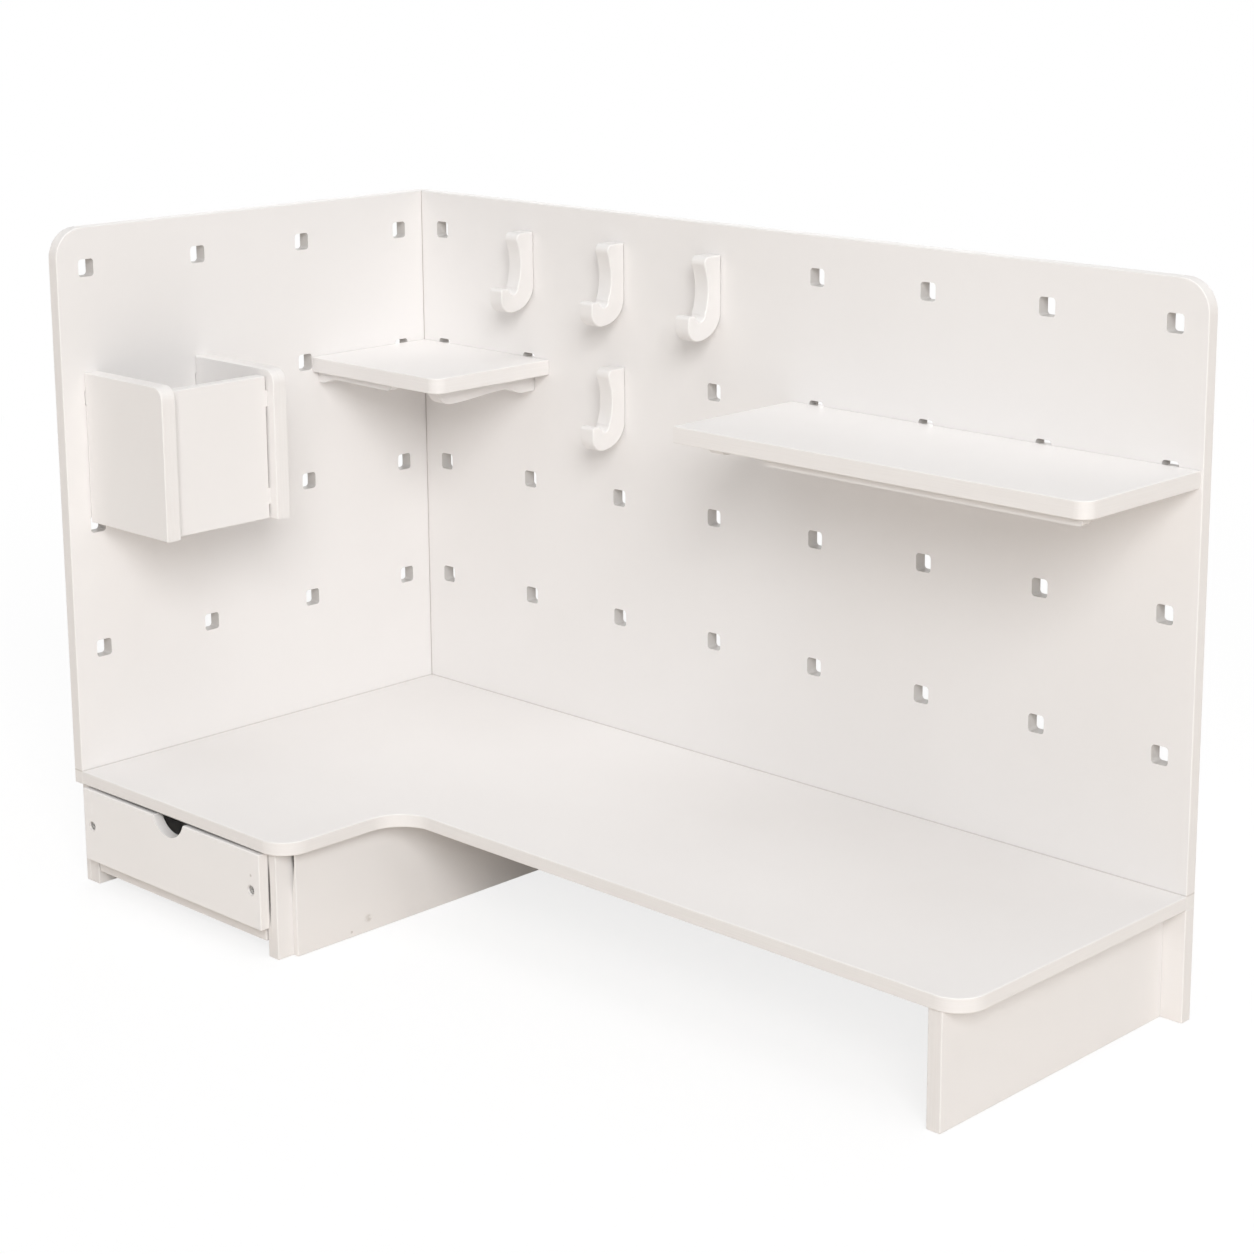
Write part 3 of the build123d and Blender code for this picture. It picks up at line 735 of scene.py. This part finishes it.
@dataclass
class Drawer(SubAssembly):
    """The drawer, with a lip ring in the mouth of each sunk front screw."""

    body: str = "drawer"
    thin_x: tuple[str, ...] = ("drawer_left_side", "drawer_right_side")
    ring_outer: float = 4.05 * MM
    ring_inner: float = 3.3 * MM
    ring_depth: float = 1.6 * MM
    ring_crown: float = 0.45 * MM
    ring_lip: float = 0.05 * MM
    ring_steps: int = 48
    side_inset: float = 5 * MM
    pale_rise: float = 14 * MM
    pale_half: Place = (2.6 * MM, 20 * MM, 7 * MM)
    pale_depth: float = 0.6
    dot_rise: float = 11 * MM
    dot_half: Place = (1.7 * MM, 20 * MM, 1.5 * MM)
    dot_depth: float = 0.7
    # painted light: a paler face than the other boards, which makes the drawer front brighter than the lamps
    # leave it
    front_painted_light: BoardFinish = BoardFinish(face=(0.885, 0.868, 0.857), cloud=(0.867, 0.848, 0.835))

    def lip_ring(self, x: float, z: float, face_y: float) -> np.ndarray:
        """A ring of revolution about Y: a six-point profile with a crowned lip, turned once round the bore.

        The point at turn t and profile place (r, d) is (x + r cos t, face_y + d, z + r sin t).

        Args:
            x: the bore's place along the front.
            z: the bore's height.
            face_y: the front's face.

        Returns:
            The points as a grid, one row for each turn step.
        """
        crown = (self.ring_outer + self.ring_inner) / 2
        profile = np.array(
            [
                (self.ring_outer, self.ring_crown),
                (crown + self.ring_crown / 2, self.ring_lip),
                (crown - self.ring_crown / 2, self.ring_lip),
                (self.ring_inner, self.ring_crown),
                (self.ring_inner, self.ring_depth),
                (self.ring_outer, self.ring_depth),
            ]
        )
        turn = np.linspace(0, 2 * np.pi, self.ring_steps, endpoint=False)[:, None]
        radius = profile[None, :, 0]
        across = x + radius * np.cos(turn)
        up = z + radius * np.sin(turn)
        depth = np.broadcast_to(face_y + profile[None, :, 1], across.shape)
        return np.stack([across, depth, up], axis=-1)

    def build(self, palette: Palette) -> None:
        """Dresses the drawer, with a mark over each front screw and a front paler than the other boards as
        painted light, and sets a ring in each screw mouth.
        """
        face_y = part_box("drawer_front")[0].y
        screw_low, screw_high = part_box("drawer_front_screws")
        screw_z = (screw_low.z + screw_high.z) / 2
        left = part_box("drawer_left_side")[0].x + self.side_inset
        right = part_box("drawer_right_side")[1].x - self.side_inset
        marks = (
            SmudgeAndShade((left, face_y, screw_z + self.pale_rise), self.pale_half, self.pale_depth, Tone.PALE),
            SmudgeAndShade((right, face_y, screw_z + self.dot_rise), self.dot_half, self.dot_depth),
        )
        self.dress({node: palette.boards[Axis.X] for node in self.thin_x})
        self.dress({"drawer_floor": palette.boards[Axis.Z], "drawer_back": palette.boards[Axis.Y]})
        self.dress({"drawer_front": self.front_painted_light.material("white_board_drawer_front", Axis.Y, marks)})
        self.dress({"drawer_front_screws": palette.screw_steel, "drawer_floor_screws": palette.screw_steel})
        for side, x in (("left", left), ("right", right)):
            points = self.lip_ring(x, screw_z, face_y)
            faces = grid_faces(*points.shape[:2])
            ring = mesh_piece(f"drawer_front_{side}_screw_ring", points.reshape(-1, 3), faces)
            self.add(ring, "white_board", palette.hook_plastic)


@dataclass
class PenBox(SubAssembly):
    """The plug-in pen box."""

    body: str = "pen_box"

    def build(self, palette: Palette) -> None:
        """Dresses the box's four boards."""
        self.dress({"pen_box_near_side": palette.boards[Axis.Y], "pen_box_far_side": palette.boards[Axis.Y]})
        self.dress({"pen_box_front": palette.boards[Axis.X], "pen_box_floor": palette.boards[Axis.Z]})


@dataclass
class Shelf(SubAssembly):
    """A plug-in shelf with its supports and front rail."""

    supports: str

    def build(self, palette: Palette) -> None:
        """Dresses the board, brackets and rail."""
        self.dress({f"{self.body}_board": palette.boards[Axis.Z]})
        self.dress({self.supports: palette.boards[Axis.X]})
        self.dress({f"{self.body}_rail": palette.boards[Axis.Y]})


@dataclass
class Hook(SubAssembly):
    """One plug-in hook."""

    def build(self, palette: Palette) -> None:
        """Dresses the hook in moulded plastic."""
        self.dress({self.body: palette.hook_plastic})


@dataclass
class Studio:
    """The white floor, the soft light and the camera."""

    camera_place: Place = (1.28958, -1.27187, 0.74347)
    camera_yaw: float = 43.296
    camera_pitch: float = 12.1677
    camera_roll: float = -0.0809
    camera_lens: float = 77.184
    camera_shift: Span = (-0.05, -0.13)
    camera_sensor: float = 36.0
    camera_reach: float = 100.0
    floor_half: float = 14.0
    floor_drop: float = 0.3 * MM
    floor_fade: Span = (0.75, 2.2)
    floor_waver: float = 0.1
    floor_waver_scale: float = 1.4
    floor_seen: Colour = (0.22, 0.22, 0.22)
    floor_glow: Colour = (0.79, 0.79, 0.79)
    floor_bounce: Colour = (0.78, 0.71, 0.64)
    white: Colour = (1.0, 1.0, 1.0)
    black: Colour = (0.0, 0.0, 0.0)
    sky_strength: float = 0.36
    key_place: Place = (4.0, -3.41, 3.15)
    key_size: float = 2.6
    key_power: float = 229.0
    top_place: Place = (0.7, -0.6, 5.6)
    top_size: float = 4.0
    top_power: float = 85.0
    back_place: Place = (-2.6, 2.6, 0.45)
    back_size: float = 2.0
    back_power: float = 80.0

    def is_seen(self, tree: Tree) -> Number:
        """1 for rays that look at the studio from the camera, a reflection or through glass."""
        path = tree.node("ShaderNodeLightPath").outputs
        seen = Number(tree, path["Is Camera Ray"])
        seen = seen.at_least(Number(tree, path["Is Glossy Ray"]))
        return seen.at_least(Number(tree, path["Is Transmission Ray"]))

    def floor(self) -> None:
        """Lays the pale floor: it shows the object's faint shadow near by and fades to plain white.

        Light that it throws back on the object is warm, as from a wooden table.
        """
        material, tree = new_material("studio_floor")
        seen = self.is_seen(tree)
        place = tree.place()
        reach = tree.number("ShaderNodeVectorMath", {"operation": "LENGTH"}, {0: place}, "Value")
        waver = tree.noise(place, self.floor_waver_scale, 2.0) * self.floor_waver
        far = (reach + waver).step(*self.floor_fade)
        lit = tree.mix(far, self.floor_seen, self.black)
        glow = tree.mix(far, self.floor_glow, self.white)
        tree.principled(
            {
                "Base Color": tree.mix(seen, self.floor_bounce, lit),
                "Roughness": 1.0,
                "Specular IOR Level": 0.0,
                "Emission Color": tree.mix(seen, self.black, glow),
                "Emission Strength": 1.0,
            }
        )
        half = self.floor_half
        points = np.array([(-half, -half), (half, -half), (half, half), (-half, half)])
        points = np.column_stack([points, np.full(len(points), -self.floor_drop)])
        floor = mesh_piece("studio_floor", points, np.array([[0, 1, 2, 3]]))
        floor.data.materials.append(material)
        LOG.info("studio: floor")

    def world(self) -> None:
        """Sets an even sky that is plain white where it is looked at."""
        world = bpy.data.worlds.new("studio_sky")
        bpy.context.scene.world = world
        world.use_nodes = True
        tree = Tree(world.node_tree)
        seen = self.is_seen(tree)
        background = tree.node(
            "ShaderNodeBackground",
            None,
            {
                "Color": self.white,
                "Strength": self.sky_strength + seen * (1.0 - self.sky_strength),
            },
        )
        tree.node("ShaderNodeOutputWorld", None, {"Surface": background.outputs[0]})
        LOG.info("studio: sky")

    def lamp(self, name: str, place: Place, size: float, power: float) -> None:
        """Hangs one square soft lamp that looks at the middle of the object.

        Args:
            name: the lamp's name.
            place: where it hangs.
            size: its side.
            power: watts.
        """
        light = bpy.data.lights.new(name, "AREA")
        light.size = size
        light.energy = power
        lamp = bpy.data.objects.new(name, light)
        middle = (CAD_BOX[0] + CAD_BOX[1]) / 2
        aim = (Vector(place) - middle).to_track_quat("Z", "Y").to_matrix().to_4x4()
        lamp.matrix_world = Matrix.Translation(place) @ aim
        lamp.visible_camera = False
        bpy.context.scene.collection.objects.link(lamp)
        LOG.info("studio: %s", name)

    def camera(self) -> None:
        """Stands the camera where the photograph was taken from.

        The view direction is turned by the yaw from +Y towards -X and dipped by the pitch, and the picture is
        turned by the roll about it.
        """
        yaw = math.radians(self.camera_yaw)
        pitch = math.radians(self.camera_pitch)
        roll = math.radians(self.camera_roll)
        level = Vector((-math.sin(yaw), math.cos(yaw), 0.0))
        forward = level * math.cos(pitch) - Vector((0.0, 0.0, math.sin(pitch)))
        right = Vector((math.cos(yaw), math.sin(yaw), 0.0))
        up = right.cross(forward)
        turned_right = right * math.cos(roll) + up * math.sin(roll)
        turned_up = up * math.cos(roll) - right * math.sin(roll)
        turn = Matrix((turned_right, turned_up, -forward)).transposed().to_4x4()
        data = bpy.data.cameras.new("photo_camera")
        data.sensor_width = self.camera_sensor
        data.lens = self.camera_lens
        data.shift_x, data.shift_y = self.camera_shift
        data.clip_end = self.camera_reach
        camera = bpy.data.objects.new("photo_camera", data)
        camera.matrix_world = Matrix.Translation(self.camera_place) @ turn
        bpy.context.scene.collection.objects.link(camera)
        bpy.context.scene.camera = camera
        LOG.info("studio: camera")

    def build(self) -> None:
        """Sets the whole studio."""
        bpy.context.scene.view_settings.view_transform = "Standard"
        self.floor()
        self.world()
        self.lamp("key_softbox", self.key_place, self.key_size, self.key_power)
        self.lamp("top_softbox", self.top_place, self.top_size, self.top_power)
        self.lamp("back_softbox", self.back_place, self.back_size, self.back_power)
        self.camera()


def main() -> None:
    """Builds and dresses the sub-assemblies in order."""
    logging.basicConfig(level=logging.INFO, format="%(message)s")
    palette = Palette(BoardFinish(), HookFinish(), SteelFinish(), DowelFinish())
    palette.make()
    Stand().build(palette)
    Drawer().build(palette)
    PenBox().build(palette)
    Shelf("corner_shelf", "corner_shelf_bracket").build(palette)
    Shelf("long_shelf", "long_shelf_brackets").build(palette)
    for number in range(1, HOOK_COUNT + 1):
        Hook(f"hook_{number}").build(palette)
    Studio().build()


if __name__ == "__main__":
    main()
